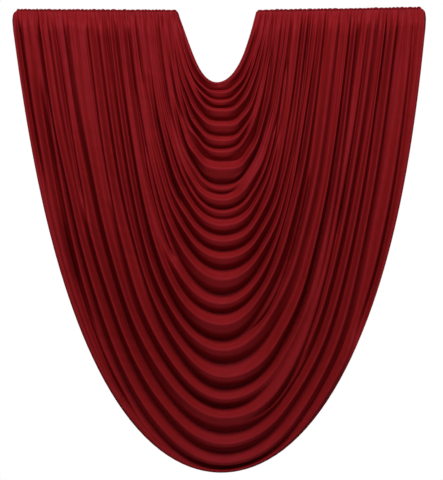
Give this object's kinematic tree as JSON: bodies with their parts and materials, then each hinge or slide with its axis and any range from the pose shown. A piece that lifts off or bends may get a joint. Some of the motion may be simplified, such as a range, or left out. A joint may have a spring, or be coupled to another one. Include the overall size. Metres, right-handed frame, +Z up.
{
  "type": "swag curtain panel",
  "caption": "Deep swag drape of pile cloth: uneven folds hang in a U between gathered heading bands along a straight top edge.",
  "frame": {"origin": "midway between the two heading bands, at the height of their top edge and on the wall plane behind them", "axes": "+Z up, +X to the right as seen from the room, -Y towards the room"},
  "size_m": [1.5492, 0.1046, 1.7451],
  "materials": {
    "drape_cloth": "matt short pile, dark red",
    "band_cloth": "matt short pile, dark red, a shade darker"
  },
  "bodies": {
    "root": {"swag_drape": "drape_cloth", "heading_band_left": "band_cloth", "heading_band_right": "band_cloth"}
  },
  "joints": []
}
